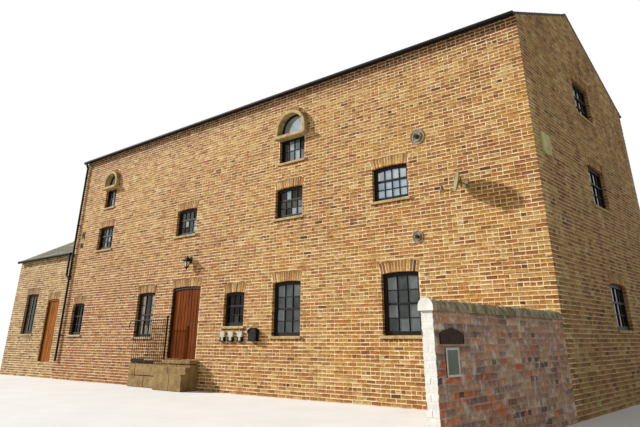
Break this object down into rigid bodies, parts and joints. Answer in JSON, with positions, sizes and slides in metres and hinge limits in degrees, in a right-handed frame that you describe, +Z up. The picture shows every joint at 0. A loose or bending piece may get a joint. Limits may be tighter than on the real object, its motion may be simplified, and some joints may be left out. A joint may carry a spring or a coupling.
{
  "type": "coach house",
  "caption": "Three-storey brick coach house with a lower annexe on its left, arched loading windows under the eaves, two hinged plank doors and a coped yard wall.",
  "frame": {"origin": "on the underside of the front wall, at mid-length of the main block and mid-thickness of the wall", "axes": "+X along the front to the right when facing it, +Y from front to back, +Z up"},
  "size_m": [22.255, 12.51, 9.5562],
  "materials": {
    "brick": "weathered facing brick",
    "roof_slate": "split slate",
    "mossy_slate": "old slate with moss",
    "ridge_clay": "dark ridge tile",
    "sandstone": "weathered sandstone",
    "grey_stone": "weathered stone",
    "timber": "rough sawn",
    "floor_board": "sawn boards",
    "slab": "stone paving",
    "black_joinery": "dark gloss paint",
    "window_glass": "clear",
    "door_boards": "stained boards",
    "annexe_boards": "varnished boards",
    "black_iron": "black paint",
    "black_metal": "black paint",
    "grey_metal": "grey paint",
    "pale_metal": "pale paint",
    "plate": "bare dark plate"
  },
  "bodies": {
    "house": {"front_plinth": "brick", "front_wall_left": "brick", "front_wall_right": "brick", "front_wall_over_door": "brick", "front_wall_first": "brick", "front_wall_second": "brick", "right_gable_wall": "brick", "left_gable_wall": "brick", "rear_wall_ground": "brick", "rear_wall_first": "brick", "rear_wall_second": "brick", "ground_floor": "slab", "first_floor": "floor_board", "second_floor": "floor_board", "roof_front_slope": "roof_slate", "roof_rear_slope": "roof_slate", "ridge_tiles": "ridge_clay", "roof_purlins": "timber", "gutters": "black_iron", "downpipes": "black_iron", "window_frames": "black_joinery", "window_glass": "window_glass", "window_sills": "sandstone", "brick_arches": "brick", "arched_surrounds": "sandstone", "door_frames": "black_joinery", "hinge_posts": "black_metal", "door_steps": "grey_stone", "stone_kerb": "grey_stone", "railing": "black_iron", "lantern": "black_metal", "post_box": "black_metal", "vent_grille": "black_metal", "wall_boxes": "pale_metal", "tie_plates": "grey_metal", "satellite_dish": "grey_metal", "yard_wall": "brick", "yard_wall_coping": "grey_stone", "yard_wall_plates": "plate", "annexe_plinth": "brick", "annexe_front_left": "brick", "annexe_front_right": "brick", "annexe_over_door": "brick", "annexe_end_wall": "brick", "annexe_rear_wall": "brick", "annexe_floor": "slab", "annexe_roof": "mossy_slate"},
    "front_door": {"front_door": "door_boards", "front_door_hinges": "black_metal"},
    "annexe_door": {"annexe_door": "annexe_boards", "annexe_door_hinges": "black_metal"}
  },
  "joints": [
    {"name": "front_door_hinge", "type": "hinge", "parent": "house", "child": "front_door", "pos_m": [-2.3775, -0.049, 1.6715], "axis": [0, 0, 1], "range_deg": [0, 90]},
    {"name": "annexe_door_hinge", "type": "hinge", "parent": "house", "child": "annexe_door", "pos_m": [-10.2975, 0.011, 1.5465], "axis": [0, 0, 1], "range_deg": [0, 90]}
  ]
}
